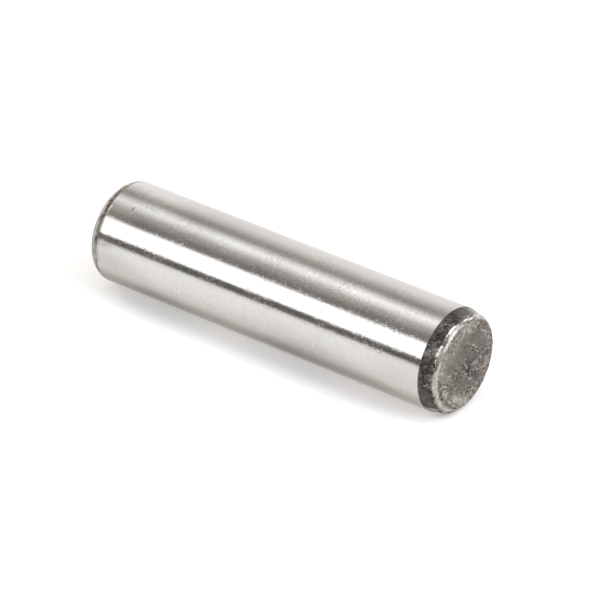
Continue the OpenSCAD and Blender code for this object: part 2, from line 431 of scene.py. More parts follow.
def half_section(bm):
    """The wire that is turned: from the foot's centre up the shank and the taper to the face's."""
    corners = [
        (0, 0), (SHANK_R, 0), (SHANK_R, LEAD_Z),
        (WORN_EDGE_R, WORN_EDGE_Z), (FACE_R, WORN_TOP), (0, WORN_TOP),
    ]
    points = [bm.verts.new((r, 0, z)) for r, z in corners]
    for here, there in zip(points, points[1:]):
        bm.edges.new((here, there))
    foot_rim, lead_start, outer_rub, inner_rub = points[1:-1]
    roundings = [
        (foot_rim, FOOT_RIM_R, FOOT_RIM_STEPS),
        (lead_start, LEAD_RUB_R, LEAD_RUB_STEPS),
        (outer_rub, OUTER_RUB_R, WORN_RUB_STEPS),
        (inner_rub, INNER_RUB_R, WORN_RUB_STEPS),
    ]
    for corner, radius, steps in roundings:
        bmesh.ops.bevel(
            bm, geom=[corner], offset=radius, segments=steps, profile=0.5, affect="VERTICES", material=-1
        )


def nick_levels():
    """The heights where the shank needs rings, close together across each mark on it."""
    levels = set()
    for _, _, _, *paths in SHANK_DIRT_AND_SHADE + SHANK_BARE:
        for path in paths:
            heights = [height * MM for height in path[1::2]]
            first = round(min(heights) / NICK_STEP) - NICK_MARGIN
            last = round(max(heights) / NICK_STEP) + NICK_MARGIN
            levels.update(range(first, last + 1))
    return [level * NICK_STEP for level in sorted(levels) if level * NICK_STEP > FOOT_RIM_R + LOOSE]


def step_for(edge):
    """The longest step allowed along this edge of the section."""
    middle = (edge.verts[0].co + edge.verts[1].co) / 2
    if middle.z > WORN_TOP - LOOSE:
        return FACE_STEP
    if middle.z > LEAD_Z - 2 * LEAD_STEP:
        return LEAD_STEP
    if middle.z > LOOSE:
        return SHANK_STEP
    return FOOT_STEP


def turned_blank(bm):
    """Turns the half section into the closed pin, one sector at a time."""
    half_section(bm)
    for level in nick_levels():
        bmesh.ops.bisect_plane(
            bm, geom=bm.verts[:] + bm.edges[:], plane_co=(0, 0, level), plane_no=(0, 0, 1)
        )
    for edge in list(bm.edges):
        cuts = math.ceil(edge.calc_length() / step_for(edge)) - 1
        if cuts > 0:
            bmesh.ops.subdivide_edges(bm, edges=[edge], cuts=cuts)
    sector = math.tau / SECTORS
    bmesh.ops.spin(
        bm, geom=bm.verts[:] + bm.edges[:], cent=(0, 0, 0), axis=(0, 0, 1),
        angle=sector, steps=TURNS // SECTORS,
    )
    first_sector = bm.verts[:] + bm.edges[:] + bm.faces[:]
    for turn in range(1, SECTORS):
        copied = bmesh.ops.duplicate(bm, geom=first_sector)["geom"]
        bmesh.ops.rotate(
            bm, cent=(0, 0, 0), matrix=Matrix.Rotation(turn * sector, 3, "Z"),
            verts=[part for part in copied if isinstance(part, bmesh.types.BMVert)],
        )
    bmesh.ops.remove_doubles(bm, verts=bm.verts[:], dist=JOINED)
    bmesh.ops.recalc_face_normals(bm, faces=bm.faces[:])


def assign_finishes(bm):
    """Smooth faces in four zones, one for each finish."""
    for face in bm.faces:
        face.smooth = True
        middle = face.calc_center_median()
        if middle.z > WORN_TOP - LOOSE:
            face.material_index = FACE
        elif middle.z > LEAD_Z:
            face.material_index = LEAD
        elif middle.z > FOOT_RIM_R:
            face.material_index = GROUND
        else:
            face.material_index = SCALE


# ---- wear

def hump(distance, reach):
    """1 at no distance, falling smoothly to 0 at the reach."""
    return np.clip(1 - (distance / reach) ** 2, 0, 1) ** 2


def face_edge(azimuth):
    """The radius where the end face meets the worn flat, at an azimuth in degrees."""
    radius = FACE_R
    for middle, reach, depth in WIDE_WEAR:
        away = (azimuth - middle + 180) % 360 - 180
        radius = radius - depth * hump(away, reach)
    return radius


def at_azimuth(azimuth, radius, height):
    """A point in space, from an azimuth in degrees."""
    turn = math.radians(azimuth)
    return np.array((radius * math.cos(turn), radius * math.sin(turn), height))


def pairs(path):
    """The points of a path, from its numbers two by two."""
    return list(zip(path[::2], path[1::2]))


def on_face(path):
    """A path on the end face, as points in space."""
    return [np.array((x * MM, y * MM, WORN_TOP)) for x, y in path]


def on_lead(path):
    """A path on the lead taper and the worn flat, as points in space."""
    points = []
    for azimuth, below in path:
        height = PIN_TOP - below * MM
        if height < WORN_EDGE_Z:
            radius = SHANK_R - (height - LEAD_Z) * math.tan(LEAD_ANGLE)
        else:
            up_flat = (height - WORN_EDGE_Z) / (WORN_TOP - WORN_EDGE_Z)
            radius = WORN_EDGE_R - (WORN_EDGE_R - face_edge(azimuth)) * up_flat
        points.append(at_azimuth(azimuth, radius, height))
    return points


def on_shank(path):
    """A path on the shank, as points in space."""
    return [at_azimuth(azimuth, SHANK_R, height * MM) for azimuth, height in path]


def short_steps(path):
    """The same path with points put in, so that its straight runs keep to the round surface."""
    points = path[:1]
    for (azimuth, height), (next_azimuth, next_height) in zip(path, path[1:]):
        count = math.ceil(abs(next_azimuth - azimuth) / LONGEST_STEP)
        for number in range(1, count + 1):
            share = number / count
            points.append((
                azimuth + (next_azimuth - azimuth) * share,
                height + (next_height - height) * share,
            ))
    return points


def on_foot(path):
    """A path on the foot's rounded rim, as points in space."""
    points = []
    for azimuth, height in short_steps(path):
        drop = FOOT_RIM_R - height * MM
        radius = SHANK_R - FOOT_RIM_R + math.sqrt(FOOT_RIM_R ** 2 - drop ** 2)
        points.append(at_azimuth(azimuth, radius, height * MM))
    return points


# What every mark leaves behind, and where.
MARKS = {
    "dirt_and_shade": [(on_face, FACE_DIRT), (on_lead, LEAD_DIRT), (on_shank, SHANK_DIRT_AND_SHADE), (on_foot, FOOT_DIRT)],
    "bare_and_highlight": [(on_face, FACE_BARE_AND_GLINTS), (on_lead, LEAD_BARE_AND_HIGHLIGHT), (on_shank, SHANK_BARE), (on_foot, FOOT_BARE)],
    "rust": [(on_lead, LEAD_RUST)],
    "film": [(on_face, FACE_FILM)],
    "smooth": [(on_face, FACE_SMOOTH), (on_lead, LEAD_SMOOTH)],
    "dull_and_shade": [(on_face, FACE_DULL), (on_lead, LEAD_DULL_AND_SHADE)],
    "pale_and_sheen": [(on_face, FACE_PALE), (on_lead, LEAD_PAINTED_REFLECTION)],
}


def path_gap(places, path):
    """How far each place is from a path of straight runs."""
    nearest = np.full(len(places), np.inf)
    for start, end in zip(path, path[1:]):
        run = end - start
        along = np.clip((places - start) @ run / (run @ run), 0, 1)
        gap = np.linalg.norm(places - start - along[:, None] * run, axis=1)
        nearest = np.minimum(nearest, gap)
    return nearest


def unevenness(places, size, seed):
    """Smooth noise from -1 to 1, with bumps of about this size."""
    shift = Vector((seed, -seed, 2 * seed))
    return np.array([noise.noise(Vector(place) / size + shift) for place in places])


def round_pin(places):
    """How far each place is from the pin's line, and its azimuth in degrees."""
    radius = np.maximum(np.linalg.norm(places[:, :2], axis=1), LOOSE)
    return radius, np.degrees(np.arctan2(places[:, 1], places[:, 0]))


def widen_worn_edge(places):
    """Rubs the flat wider in places, by drawing in the edge of the end face."""
    radius, azimuth = round_pin(places)
    inward = FACE_R - face_edge(azimuth)
    ring = places / radius[:, None] * FACE_R
    depth, size, seed = EDGE_WANDER
    inward += depth * unevenness(ring, size, seed)
    on_flat = np.clip((WORN_EDGE_R - radius) / (WORN_EDGE_R - FACE_R), 0, 1)
    in_face = np.clip(radius / FACE_R, 0, 1) ** PULL_FADE
    on_top = places[:, 2] > WORN_EDGE_Z
    kept = 1 - np.where(on_top, inward * np.minimum(on_flat, in_face), 0) / radius
    places[:, 0] *= kept
    places[:, 1] *= kept


def rubbed_edge(places, ragged):
    """How bare the edge of the end face is, all the way round."""
    radius, azimuth = round_pin(places)
    past_edge = radius - face_edge(azimuth) - EDGE_RUB_PLACE
    on_top = places[:, 2] > WORN_EDGE_Z
    near = hump(past_edge * ragged, EDGE_RUB_REACH) * hump(azimuth - EDGE_RUB_MIDDLE, EDGE_RUB_SPAN)
    return EDGE_RUB_STRENGTH * np.where(on_top, near, 0)


def point_values(mesh, name):
    """The place or the normal of every point of a mesh."""
    values = np.empty(len(mesh.vertices) * 3)
    mesh.vertices.foreach_get(name, values)
    return values.reshape(-1, 3)


def move_points(mesh, places):
    """Moves every point of a mesh to its place."""
    mesh.vertices.foreach_set("co", places.ravel())
    mesh.update()


def wear(mesh):
    """Cuts, rubs and stains the surface, and leaves the amounts on it for the finishes to read."""
    places = point_values(mesh, "co")
    widen_worn_edge(places)
    move_points(mesh, places)
    outward = point_values(mesh, "normal")

    ragged = 1 + RAGGED_SHARE * unevenness(places, RAGGED_SIZE, RAGGED_SEED)
    lift = np.zeros(len(places))
    for name, groups in MARKS.items():
        amount = np.zeros(len(places))
        strokes = [
            (width, rise, strength, on_surface(pairs(path)))
            for on_surface, rows in groups
            for width, rise, strength, *paths in rows
            for path in paths
        ]
        for width, rise, strength, points in strokes:
            near = hump(path_gap(places, points) * ragged, width * MM / 2)
            lift += rise * MM * near
            amount = np.maximum(amount, strength * near)
        if name == "bare_and_highlight":
            amount = np.maximum(amount, rubbed_edge(places, ragged))
        layer = mesh.attributes.new(name, "FLOAT", "POINT")
        layer.data.foreach_set("value", amount)

    worn = np.flatnonzero(places[:, 2] > WORN_EDGE_Z)
    taper = np.flatnonzero((places[:, 2] > LEAD_Z + LEAD_STEP) & (places[:, 2] <= WORN_EDGE_Z))
    for zone, bumps in ((worn, WORN_BUMPS), (taper, TAPER_BUMPS)):
        for depth, size, seed in bumps:
            lift[zone] += depth * unevenness(places[zone], size, seed)
    places += lift[:, None] * outward
    places[:, 2] = np.minimum(places[:, 2], PIN_TOP)
    move_points(mesh, places)


def add_object(name, data):
    """A new object in the scene."""
    made = bpy.data.objects.new(name, data)
    bpy.context.collection.objects.link(made)
    return made


def add_mesh(name, bm):
    """A new object in the scene, from a mesh in the making."""
    mesh = bpy.data.meshes.new(name)
    bm.to_mesh(mesh)
    bm.free()
    return add_object(name, mesh)


def make_pin():
    """The pin, turned, worn and finished."""
    bm = bmesh.new()
    turned_blank(bm)
    assign_finishes(bm)
    pin = add_mesh("pin_body", bm)
    wear(pin.data)
    for finish in (ground_steel(), furnace_scale(), worn_lead(), end_face()):
        pin.data.materials.append(finish)
    return pin


# ---- nodes

def add_node(tree, kind, inputs=(), **settings):
    """Adds a node with its settings, and fills its inputs with values or other nodes' outputs."""
    made = tree.nodes.new("ShaderNode" + kind)
    for name, value in settings.items():
        setattr(made, name, value)
    for name, value in dict(inputs).items():
        if isinstance(value, bpy.types.NodeSocket):
            tree.links.new(value, made.inputs[name])
        else:
            made.inputs[name].default_value = value
    return made


def calculate(tree, operation, *values):
    """One sum, done by a Math node."""
    return add_node(tree, "Math", dict(enumerate(values)), operation=operation).outputs[0]


def times(tree, first, second):
    """Two amounts multiplied."""
    return calculate(tree, "MULTIPLY", first, second)


def plus(tree, base, amount, factor):
    """A base with an amount added to it, which is scaled first."""
    return calculate(tree, "MULTIPLY_ADD", amount, factor, base)


def vector_sum(tree, operation, *values, output="Vector"):
    """One sum of vectors."""
    return add_node(tree, "VectorMath", dict(enumerate(values)), operation=operation).outputs[output]


def fade(tree, value, start, end):
    """0 up to the start, 1 past the end, and smooth between."""
    return add_node(
        tree, "MapRange", {"Value": value, "From Min": start, "From Max": end},
        interpolation_type="SMOOTHSTEP",
    ).outputs["Result"]


# The sockets for colours in a Mix node: the first colour, the second and the result.
MIX_FIRST, MIX_SECOND, MIXED = 6, 7, 2


def blend(tree, share, first, second):
    """A colour between two colours."""
    inputs = {0: share, MIX_FIRST: first, MIX_SECOND: second}
    return add_node(tree, "Mix", inputs, data_type="RGBA").outputs[MIXED]


def layered(tree, colour, layers):
    """A colour with others over it. A layer is its pattern, where that starts and ends, and its colour."""
    for pattern, start, end, over in layers:
        colour = blend(tree, fade(tree, pattern, start, end), colour, over)
    return colour


def spots(tree, place, stretch, detail=3.0, roughness=0.55, swirl=0.0):
    """Cloudy noise. Its numbers are those of the patterns below."""
    pattern = add_node(tree, "Mapping", {"Vector": place, "Scale": stretch})
    return add_node(
        tree, "TexNoise",
        {
            "Vector": pattern.outputs["Vector"], "Scale": 1.0, "Detail": detail,
            "Roughness": roughness, "Distortion": swirl,
        },
    ).outputs["Fac"]


def amount_of(tree, name):
    """How much of a mark's trace is on the surface here."""
    return add_node(tree, "Attribute", attribute_name=name).outputs["Fac"]


def scaled(tree, colour, factor):
    """A colour made brighter or darker."""
    node = add_node(tree, "VectorMath", {0: colour, "Scale": factor}, operation="SCALE")
    return node.outputs["Vector"]


def parts_of(tree, place):
    """The X, Y and Z of a place or a direction."""
    return add_node(tree, "SeparateXYZ", {"Vector": place}).outputs


def grey(level, warmth=0.0):
    """A grey in linear light, warmed towards brown."""
    return (level * (1 + warmth), level, level * (1 - warmth), 1)


# ---- finishes

# Patterns: how many spots there are in a metre along X, Y and Z, then how many finer layers they have,
# how strong those are, and how much the spots swirl.
GRINDING = ((200, 200, 5000), 4)
CLOUDS = ((300, 300, 200), 4)
TINTS = ((420, 420, 320), 1)
PITS = ((3400, 3400, 3400), 2)
WISPS = ((1500, 1500, 2400), 3, 0.55, 1.2)
SPECKLES = ((5000, 5000, 5000), 1)
FOOT_MOTTLE = ((1500, 1500, 1500), 5)
FOOT_BORDER = ((800, 800, 600), 3)
LEAD_MOTTLE = ((1500, 1500, 1200), 6, 0.62)
LEAD_SPECKS = ((5000, 5000, 5000), 4, 0.65)
RUB_LINES = ((1, 1, 1), 3)
FACE_PATCHES = ((900, 900, 900), 3)
FACE_GRAIN = ((2400, 2400, 2400), 5, 0.7)
FACE_STREAKS = ((500, 2600, 1000), 3)

# How many rub lines there are in a metre down the worn flat, and about how many round it.
RUB_LINES_DOWN = 9000
RUB_LINES_ROUND = 14

# The even level of a pattern's noise, and between which levels each of these comes up.
EVEN = 0.5
PITS_SHOW = (0.53, 0.75)
CLOUD_GRAIN = (0.35, 0.65)
CLOUD_SHEEN = (0.35, 0.75)
RUBBED_SPECKS = (0.34, 0.54)
RUBBED_GRAIN = (0.3, 0.5)
DIRTY_MOTTLE = (0.2, 0.45)
RUSTY_SPECKS = (0.35, 0.55)

# The share of a patch's reach where it is full.
PATCH_CORE = 0.2

# How much dull marks and painted shade darken, and pale marks and painted reflections lighten.
DULL_SHARE = -0.75
PALE_SHARE = 0.5

# Ground steel, and the packed dirt that other finishes have too, which on the shank also makes painted
# shade.
DARK_DIRT_AND_SHADE = grey(0.05, 0.15)
STEEL_DARK = grey(0.618, 0.02)
ROSY_TINT = (0.632, 0.607, 0.605, 1)
GREENISH_TINT = (0.615, 0.622, 0.6, 1)
FRESH_METAL = (1.0, 0.93, 0.8, 1)
WISP_STRENGTH = 0.15
WISP_IN_SCUFFS = 0.5
GRAIN_STRENGTH = 0.2
GRAIN_IN_SCUFFS = 0.2
GRAIN_IN_CLOUDS = 0.35
GRAIN_NEAR_LEAD = 0.25
NEAR_LEAD_START = 8 * MM
STEEL_ROUGHNESS = 0.09
CLOUD_ROUGHNESS = 0.05
BARE_ROUGHNESS = 0.5
PIT_DEPTH = 0.009 * MM
GRINDING_DIRECTION = 0.5

# Furnace scale on the foot, which is whole above and raggedly rubbed thin below.
FOOT_BLACK = grey(0.1, 0.12)
FOOT_STEEL = grey(0.45, 0.05)
FOOT_STAIN = grey(0.12, 0.12)
FOOT_RAGGED = 1.4 * MM
FOOT_WHOLE_Z = 1.88 * MM
FOOT_THIN_Z = 1.58 * MM
FOOT_ROUGHNESS = 0.25
FOOT_MOTTLE_ROUGHNESS = 0.2
FOOT_RELIEF = 0.006 * MM

# The lead taper's scale and rust, and the steel of the worn flat, which starts raggedly at its edge.
LEAD_BLACK = grey(0.03, 0.15)
LEAD_CALM = grey(0.09, 0.1)
FLAT_DARK = grey(0.32, 0.06)
# Bright steel, for rubbed places and for the painted highlight and painted reflections.
FLAT_BRIGHT = grey(0.92, 0.03)
RUST = (0.055, 0.034, 0.026, 1)
FLAT_RAGGED = 0.5 * MM
FLAT_START = 0.27 * MM
FLAT_WHOLE = 0.35 * MM
LEAD_ROUGHNESS = 0.42
FLAT_SHINE = -0.12
LEAD_SPECK_RELIEF = 0.4
LEAD_RELIEF = 0.02 * MM

# The end face.
FACE_DARK = grey(0.14, 0.09)
PINKISH = (0.36, 0.325, 0.315, 1)
PALE_FILM = (0.47, 0.515, 0.47, 1)
# Bright steel, for rubbed places and for painted glints.
FACE_BRIGHT = grey(0.95, 0.04)
SMOOTH_SHARE = 0.85
FILM_SHARE = 0.7
FACE_ROUGHNESS = 0.25
FACE_GRAIN_ROUGHNESS = 0.25
FACE_RELIEF = 0.02 * MM


def toned(tree, colour):
    """A colour darkened where the surface is dull and where shade is painted, and lightened where it is pale
    and where reflections are painted.
    """
    darker = plus(tree, 1.0, amount_of(tree, "dull_and_shade"), DULL_SHARE)
    lighter = plus(tree, darker, amount_of(tree, "pale_and_sheen"), PALE_SHARE)
    return scaled(tree, colour, lighter)


def patch(tree, place, azimuth, height, reach):
    """1 at a place on the shank, fading to 0 at its reach."""
    middle = direction(azimuth) * SHANK_R + Vector((0, 0, height))
    gap = vector_sum(tree, "DISTANCE", place, middle, output="Value")
    return fade(tree, gap, reach, PATCH_CORE * reach)


def smudge(tree, place, azimuth, height, reach):
    """1 at a place on the shank, fading to 0 at its reach across, and further off up and down."""
    drawn = vector_sum(tree, "MULTIPLY", place, (1, 1, 1 / SMUDGE_STRETCH))
    return patch(tree, drawn, azimuth, height / SMUDGE_STRETCH, reach)


def track(tree, place, azimuth, reach):
    """1 along a line up the shank, fading to 0 at its reach in degrees."""
    parts = parts_of(tree, place)
    turn = calculate(tree, "ARCTAN2", parts["Y"], parts["X"])
    gap = calculate(tree, "ABSOLUTE", calculate(tree, "SUBTRACT", turn, math.radians(azimuth)))
    return fade(tree, gap, math.radians(reach), math.radians(reach) / 2)


def steel_material(name):
    """A new metal, with its node tree, its shader and the piece's own coordinates."""
    material = bpy.data.materials.new(name)
    material.use_nodes = True
    tree = material.node_tree
    shader = tree.nodes["Principled BSDF"]
    shader.inputs["Metallic"].default_value = 1
    place = add_node(tree, "TexCoord").outputs["Object"]
    return material, tree, shader, place


def set_surface(tree, shader, colour, rough, height, depth):
    """Gives the shader its colour and roughness, and a relief of this depth."""
    tree.links.new(colour, shader.inputs["Base Color"])
    tree.links.new(rough, shader.inputs["Roughness"])
    bump = add_node(tree, "Bump", {"Height": height, "Distance": depth})
    tree.links.new(bump.outputs["Normal"], shader.inputs["Normal"])


def shank_tone(tree, place, scuffed):
    """How light the shank is: 1, with wisps, smudges that are partly painted shade and highlight, and
    painted glints along lines.
    """
    wisps = calculate(tree, "SUBTRACT", spots(tree, place, *WISPS), EVEN)
    tone = plus(tree, 1.0, plus(tree, WISP_STRENGTH, scuffed, WISP_IN_SCUFFS), wisps)
    for azimuth, height, reach, lighter in SMUDGES_AND_REFLECTIONS:
        tone = plus(tree, tone, smudge(tree, place, azimuth, height * MM, reach * MM), lighter)
    speckles = calculate(tree, "SUBTRACT", spots(tree, place, *SPECKLES), EVEN)
    for azimuth, reach, strength in GLINT_TRACKS:
        painted_glints = times(tree, track(tree, place, azimuth, reach), strength)
        tone = plus(tree, tone, painted_glints, speckles)
    return tone


def ground_steel():
    """The shank: centreless-ground, with cloudy smudges, soft tints, fine pits and scuffs with wisps."""
    material, tree, shader, place = steel_material("ground_steel")
    lines = spots(tree, place, *GRINDING)
    clouds = spots(tree, place, *CLOUDS)
    tints = spots(tree, place, *TINTS)
    pits = fade(tree, spots(tree, place, *PITS), *PITS_SHOW)
    scuffed = 0.0
    for azimuth, height, reach in SCUFFS:
        scuffed = calculate(tree, "MAXIMUM", patch(tree, place, azimuth, height * MM, reach * MM), scuffed)
    tinted = layered(tree, STEEL_DARK, [
        (lines, 0.3, 0.7, grey(0.632, 0.02)),
        (clouds, 0.45, 0.75, grey(0.58, 0.03)),
        (tints, 0.4, 0.7, ROSY_TINT),
        (tints, 0.5, 0.25, GREENISH_TINT),
    ])
    tinted = scaled(tree, tinted, shank_tone(tree, place, scuffed))
    bare_and_highlight = amount_of(tree, "bare_and_highlight")
    dirty_and_shaded = blend(tree, amount_of(tree, "dirt_and_shade"), tinted, DARK_DIRT_AND_SHADE)
    colour = blend(tree, bare_and_highlight, dirty_and_shaded, FRESH_METAL)
    near_lead = times(tree, fade(tree, parts_of(tree, place)["Z"], NEAR_LEAD_START, LEAD_Z), GRAIN_NEAR_LEAD)
    cloudy = plus(tree, near_lead, fade(tree, clouds, *CLOUD_GRAIN), GRAIN_IN_CLOUDS)
    grain = plus(tree, calculate(tree, "ADD", cloudy, GRAIN_STRENGTH), scuffed, GRAIN_IN_SCUFFS)
    rough = plus(tree, STEEL_ROUGHNESS, fade(tree, clouds, *CLOUD_SHEEN), CLOUD_ROUGHNESS)
    rough = plus(tree, rough, bare_and_highlight, BARE_ROUGHNESS)
    set_surface(tree, shader, colour, rough, times(tree, pits, grain), PIT_DEPTH)
    shader.inputs["Anisotropic"].default_value = GRINDING_DIRECTION
    tangent = add_node(tree, "Tangent", direction_type="RADIAL", axis="Z")
    tree.links.new(tangent.outputs["Tangent"], shader.inputs["Tangent"])
    return material


def furnace_scale():
    """The foot and its rim: a dark band of scale left from hardening, rubbed pale below."""
    material, tree, shader, place = steel_material("furnace_scale")
    mottle = spots(tree, place, *FOOT_MOTTLE)
    border = spots(tree, place, *FOOT_BORDER)
    ragged = plus(tree, parts_of(tree, place)["Z"], border, FOOT_RAGGED)
    thin = fade(tree, ragged, FOOT_WHOLE_Z, FOOT_THIN_Z)
    worn = calculate(tree, "MAXIMUM", thin, amount_of(tree, "bare_and_highlight"))
    scale = layered(tree, FOOT_BLACK, [(mottle, 0.35, 0.7, grey(0.27, 0.1))])
    steel = layered(tree, FOOT_STEEL, [(mottle, 0.35, 0.7, grey(0.7, 0.04))])
    colour = blend(tree, amount_of(tree, "dirt_and_shade"), blend(tree, worn, scale, steel), FOOT_STAIN)
    rough = plus(tree, FOOT_ROUGHNESS, mottle, FOOT_MOTTLE_ROUGHNESS)
    set_surface(tree, shader, colour, rough, mottle, FOOT_RELIEF)
    return material


def rub_lines(tree, place):
    """Noise drawn out into short lines round the worn flat, with no seam."""
    across = vector_sum(tree, "MULTIPLY", place, (1, 1, 0))
    radius = vector_sum(tree, "LENGTH", across, output="Value")
    outward = vector_sum(tree, "NORMALIZE", across)
    down_flat = calculate(tree, "SUBTRACT", radius, parts_of(tree, place)["Z"])
    round_flat = (RUB_LINES_ROUND, RUB_LINES_ROUND, 0)
    turned = vector_sum(tree, "MULTIPLY", outward, round_flat)
    parts = parts_of(tree, turned)
    down = times(tree, down_flat, RUB_LINES_DOWN)
    line_place = add_node(tree, "CombineXYZ", {"X": parts["X"], "Y": parts["Y"], "Z": down})
    return spots(tree, line_place.outputs["Vector"], *RUB_LINES)


def worn_lead():
    """The taper's dark scale, the bare steel of the worn flat with a ragged border between them, and painted
    highlights and reflections.
    """
    material, tree, shader, place = steel_material("worn_lead")
    mottle = spots(tree, place, *LEAD_MOTTLE)
    specks = spots(tree, place, *LEAD_SPECKS)
    lines = rub_lines(tree, place)
    ragged = plus(tree, parts_of(tree, place)["Z"], mottle, FLAT_RAGGED)
    on_flat = fade(tree, ragged, WORN_EDGE_Z + FLAT_START, WORN_EDGE_Z + FLAT_WHOLE)
    rubbed_and_highlit = times(tree, amount_of(tree, "bare_and_highlight"), fade(tree, specks, *RUBBED_SPECKS))
    worn = calculate(tree, "MAXIMUM", on_flat, rubbed_and_highlit)
    patchy = layered(tree, LEAD_BLACK, [
        (mottle, 0.36, 0.64, grey(0.14, 0.09)),
        (specks, 0.56, 0.68, grey(0.24, 0.08)),
    ])
    scale = blend(tree, amount_of(tree, "smooth"), patchy, LEAD_CALM)
    steel = layered(tree, FLAT_DARK, [
        (lines, 0.35, 0.65, grey(0.56, 0.05)),
        (specks, 0.5, 0.66, grey(0.3, 0.07)),
    ])
    colour = toned(tree, blend(tree, worn, scale, steel))
    # Rubbed steel, and the painted highlight and painted reflections, in bright steel.
    colour = blend(tree, rubbed_and_highlit, colour, FLAT_BRIGHT)
    dirt_and_shade = times(tree, amount_of(tree, "dirt_and_shade"), fade(tree, mottle, *DIRTY_MOTTLE))
    colour = blend(tree, dirt_and_shade, colour, DARK_DIRT_AND_SHADE)
    rust = times(tree, amount_of(tree, "rust"), fade(tree, specks, *RUSTY_SPECKS))
    colour = blend(tree, rust, colour, RUST)
    rough = plus(tree, LEAD_ROUGHNESS, worn, FLAT_SHINE)
    relief = plus(tree, mottle, specks, LEAD_SPECK_RELIEF)
    set_surface(tree, shader, colour, rough, relief, LEAD_RELIEF)
    return material


def end_face():
    """The sawn and tumbled end face: dull grey, with dirt in its cuts, bare steel where rubbed, and painted
    glints.
    """
    material, tree, shader, place = steel_material("end_face")
    patches = spots(tree, place, *FACE_PATCHES)
    grain = spots(tree, place, *FACE_GRAIN)
    streaks = spots(tree, place, *FACE_STREAKS)
    rough_steel = layered(tree, FACE_DARK, [
        (grain, 0.36, 0.64, grey(0.58, 0.06)),
        (streaks, 0.55, 0.72, grey(0.19, 0.08)),
        (patches, 0.5, 0.8, grey(0.45, 0.05)),
    ])
    calm = blend(tree, times(tree, amount_of(tree, "smooth"), SMOOTH_SHARE), rough_steel, PINKISH)
    film = times(tree, amount_of(tree, "film"), FILM_SHARE)
    filmed = blend(tree, film, toned(tree, calm), PALE_FILM)
    bare_and_highlight = times(tree, amount_of(tree, "bare_and_highlight"), fade(tree, grain, *RUBBED_GRAIN))
    colour = blend(tree, bare_and_highlight, filmed, FACE_BRIGHT)
    colour = blend(tree, amount_of(tree, "dirt_and_shade"), colour, DARK_DIRT_AND_SHADE)
    rough = plus(tree, FACE_ROUGHNESS, grain, FACE_GRAIN_ROUGHNESS)
    set_surface(tree, shader, colour, rough, grain, FACE_RELIEF)
    return material


# ---- stage, light and camera

# Directions round the pin, in degrees of azimuth from the CAD's +X.
CAMERA_AZIMUTH = 7.45
TABLE_AZIMUTH = -45

# The camera: angles in degrees, distance, target, lens and sensor in millimetres, and the nearest and
# furthest that it sees in metres.
CAMERA_ELEVATION = 31.174
CAMERA_ROLL = 111.70
CAMERA_DISTANCE = 468.61
CAMERA_TARGET = (-0.837, -0.0585, 26.785)
CAMERA_LENS = 240
CAMERA_SENSOR = 36
CAMERA_NEAREST = 0.01
CAMERA_FURTHEST = 10

# Brightness of the studio round the pin, by azimuth from the camera's own side, in degrees.
STUDIO_CARDS = [
    (-180, 0.93), (-160, 1.02), (-125, 1.05), (-110, 0.87), (-88, 0.4), (-80, 0.46), (-62, 1.45),
    (-55, 1.25), (-42, 0.6), (-24, 0.25), (-15.4, 0.26), (-8.4, 2), (20.8, 2), (24, 0.14), (36, 0.15),
    (41, 1.12), (50, 1.23), (80, 1.12), (105, 0.89), (125, 0.55), (140, 0.45), (163, 0.48), (178, 0.46),
    (180, 0.93),
]

# A card's warmth with no light, and how much of it each step of brightness takes away.
CARD_WARMTH = 0.1
CARD_COOLING = 0.07

# The cards lean a little: how far their edges move between the lower and the upper of two heights of view.
CARD_LEAN = math.radians(1.3)
LEAN_START = math.radians(20)
LEAN_LOW = -0.55
LEAN_HIGH = -0.48

# The ceiling's brightness, and the heights of view where it starts and is whole.
OVERHEAD_LEVEL = 1.15
OVERHEAD_START = 0.05
OVERHEAD_WHOLE = 0.15

# A lamp above, that lights the worn edge, and a dark card behind, that the end face mirrors.
# Each has its azimuth from the camera's side, its elevation, where it starts to fade and where it ends.
LAMP_LEVEL = 3.5
LAMP_PLACE = (-64, 50, 18, 26)
DARK_LEVEL = 0.4
DARK_PLACE = (172, 34, 10, 30)

# The table top and what the camera sees past it: half the table's side in metres, and the brightness of
# its paper, of the glow that it adds, and of the backdrop.
TABLE_HALF = 1.5
TABLE_PAPER = 0.92
TABLE_GLOW = 0.095
BACKDROP_LEVEL = 1.1

# The lamps over the table.
TABLE_LAMP_AZIMUTH = TABLE_AZIMUTH + 7
TABLE_LAMP_ELEVATIONS = (55, -50)
TABLE_LAMP_ENERGY = 0.4
TABLE_LAMP_SPREAD = math.radians(18)


def direction(azimuth, elevation=0):
    """The way out from the pin at an azimuth and an elevation in degrees."""
    turn = math.radians(azimuth)
    lift = math.radians(elevation)
    return Vector((math.cos(turn) * math.cos(lift), math.sin(turn) * math.cos(lift), math.sin(lift)))


def card_colour(brightness):
    """The light of a card: the dimmer it is, the warmer."""
    return grey(brightness, max(0, CARD_WARMTH - CARD_COOLING * brightness))


def inside(tree, way, azimuth, elevation, start, end):
    """1 within a round patch of the sky, and 0 outside it."""
    facing = vector_sum(tree, "DOT_PRODUCT", way, direction(azimuth, elevation), output="Value")
    return fade(tree, facing, math.cos(math.radians(end)), math.cos(math.radians(start)))


